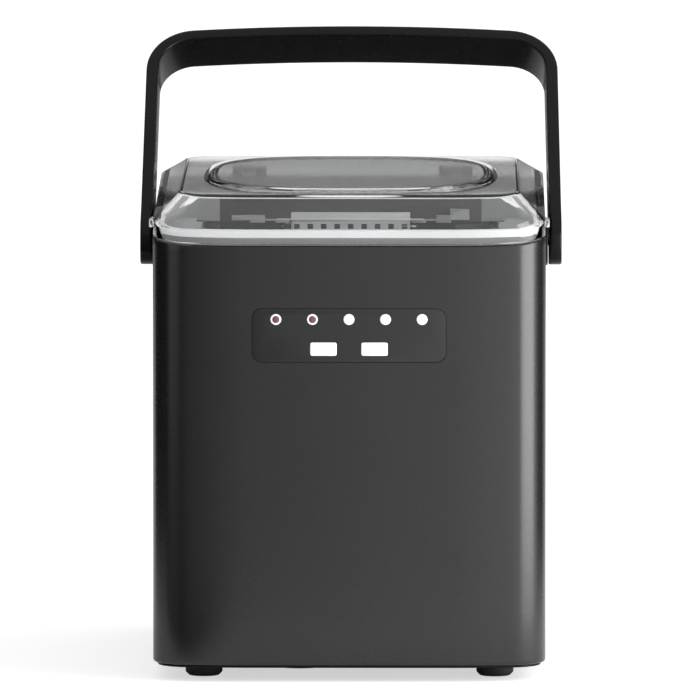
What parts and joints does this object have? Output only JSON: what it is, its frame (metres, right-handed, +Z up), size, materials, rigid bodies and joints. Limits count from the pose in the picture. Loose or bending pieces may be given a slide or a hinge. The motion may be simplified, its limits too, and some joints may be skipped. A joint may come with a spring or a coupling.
{
  "type": "countertop ice maker",
  "caption": "Upright box-shaped countertop ice maker with a hinged clear lid, a swinging carry handle, a front control panel with lamps and push buttons, and short feet.",
  "frame": {"origin": "on the worktop under the middle of the machine's bounding box", "axes": "+Z up, +X to the right seen from the front, +Y from the front panel to the back"},
  "size_m": [0.2416, 0.29, 0.3545],
  "materials": {
    "casing": "satin charcoal",
    "overlay": "satin charcoal film",
    "black_plastic": "satin black",
    "rubber": "matt black",
    "lid_clear": "clear smoky, polished",
    "pale_plastic": "satin pale grey",
    "grey_plastic": "satin grey",
    "dark_plastic": "satin dark grey",
    "white_plastic": "white, slightly glossy",
    "lamp_white": "white translucent",
    "lamp_red": "dark red centre in a white ring",
    "foam": "matt white foam",
    "copper": "bright copper",
    "nickel": "nickel plated",
    "steel": "plated steel",
    "compressor_steel": "black enamel",
    "aluminium": "bare",
    "board": "green lacquer"
  },
  "bodies": {
    "machine": {"outer_casing": "casing", "rear_cover": "black_plastic", "cord_gland": "rubber", "rear_screw_left": "steel", "rear_screw_right": "steel", "foot_front_left": "rubber", "foot_front_right": "rubber", "foot_rear_left": "rubber", "foot_rear_right": "rubber", "base_tray": "black_plastic", "drain_pipe": "grey_plastic", "top_frame": "pale_plastic", "hinge_pin_left": "steel", "hinge_pin_right": "steel", "pivot_plate_left": "black_plastic", "pivot_plate_right": "black_plastic", "pivot_screw_left": "steel", "pivot_screw_right": "steel", "ice_sensor_left": "dark_plastic", "ice_sensor_right": "dark_plastic", "shovel_bracket_left": "grey_plastic", "shovel_bracket_right": "grey_plastic", "control_overlay": "overlay", "lamp_add_water": "lamp_red", "lamp_ice_full": "lamp_red", "lamp_power": "lamp_white", "lamp_small": "lamp_white", "lamp_large": "lamp_white", "display_board": "board", "water_tank": "dark_plastic", "insulation_shell": "foam", "evaporator": "nickel", "tray_motor": "white_plastic", "tray_bearing": "white_plastic", "evaporator_hood": "dark_plastic", "compressor": "compressor_steel", "compressor_plate": "steel", "rubber_mount_1": "rubber", "rubber_mount_2": "rubber", "rubber_mount_3": "rubber", "condenser": "aluminium", "fan_shroud": "black_plastic", "fan_motor": "steel", "water_pump": "white_plastic", "pump_hose": "white_plastic", "filter_drier": "copper", "hot_gas_valve": "steel", "discharge_tube": "copper", "suction_tube": "copper", "power_board": "board"},
    "lid": {"lid": "lid_clear"},
    "handle": {"carry_handle": "black_plastic"},
    "basket": {"ice_basket": "grey_plastic"},
    "power_button": {"power_button": "white_plastic"},
    "select_button": {"select_button": "white_plastic"},
    "tray": {"water_tray": "grey_plastic"},
    "shovel": {"ice_shovel": "pale_plastic"},
    "fan": {"fan_rotor": "black_plastic"},
    "drain": {"drain_cap": "black_plastic", "drain_seal": "rubber"}
  },
  "joints": [
    {"name": "handle_swing", "type": "hinge", "parent": "machine", "child": "handle", "pos_m": [0, 0.01, 0.237], "axis": [-1, 0, 0], "range_deg": [-43, 28]},
    {"name": "lid_open", "type": "hinge", "parent": "machine", "child": "lid", "pos_m": [0, 0.13, 0.267], "axis": [-1, 0, 0], "range_deg": [0, 48]},
    {"name": "basket_lift", "type": "slide", "parent": "machine", "child": "basket", "axis": [0, 0, 1], "range_m": [0, 0.1023]},
    {"name": "power_button_press", "type": "slide", "parent": "machine", "child": "power_button", "axis": [0, 1, 0], "range_m": [0, 0.0008], "stiffness_N_per_m": 500},
    {"name": "select_button_press", "type": "slide", "parent": "machine", "child": "select_button", "axis": [0, 1, 0], "range_m": [0, 0.0008], "stiffness_N_per_m": 500},
    {"name": "water_tray_tilt", "type": "hinge", "parent": "machine", "child": "tray", "pos_m": [0, 0.028, 0.201], "axis": [1, 0, 0], "range_deg": [0, 60]},
    {"name": "ice_shovel_push", "type": "hinge", "parent": "machine", "child": "shovel", "pos_m": [0, -0.022, 0.25], "axis": [1, 0, 0], "range_deg": [-33, 0]},
    {"name": "fan_spin", "type": "hinge", "parent": "machine", "child": "fan", "pos_m": [0.0705, 0.099, 0.108], "axis": [1, 0, 0], "continuous": true},
    {"name": "drain_cap_turn", "type": "hinge", "parent": "machine", "child": "drain", "pos_m": [-0.0285, -0.085, 0.007], "axis": [0, 0, 1], "range_deg": [0, 90]}
  ],
  "couplings": [
    {"joint": "basket_lift", "follows": "lid_open", "m_per_rad": 0.122},
    {"joint": "ice_shovel_push", "follows": "water_tray_tilt", "ratio": -0.55}
  ]
}
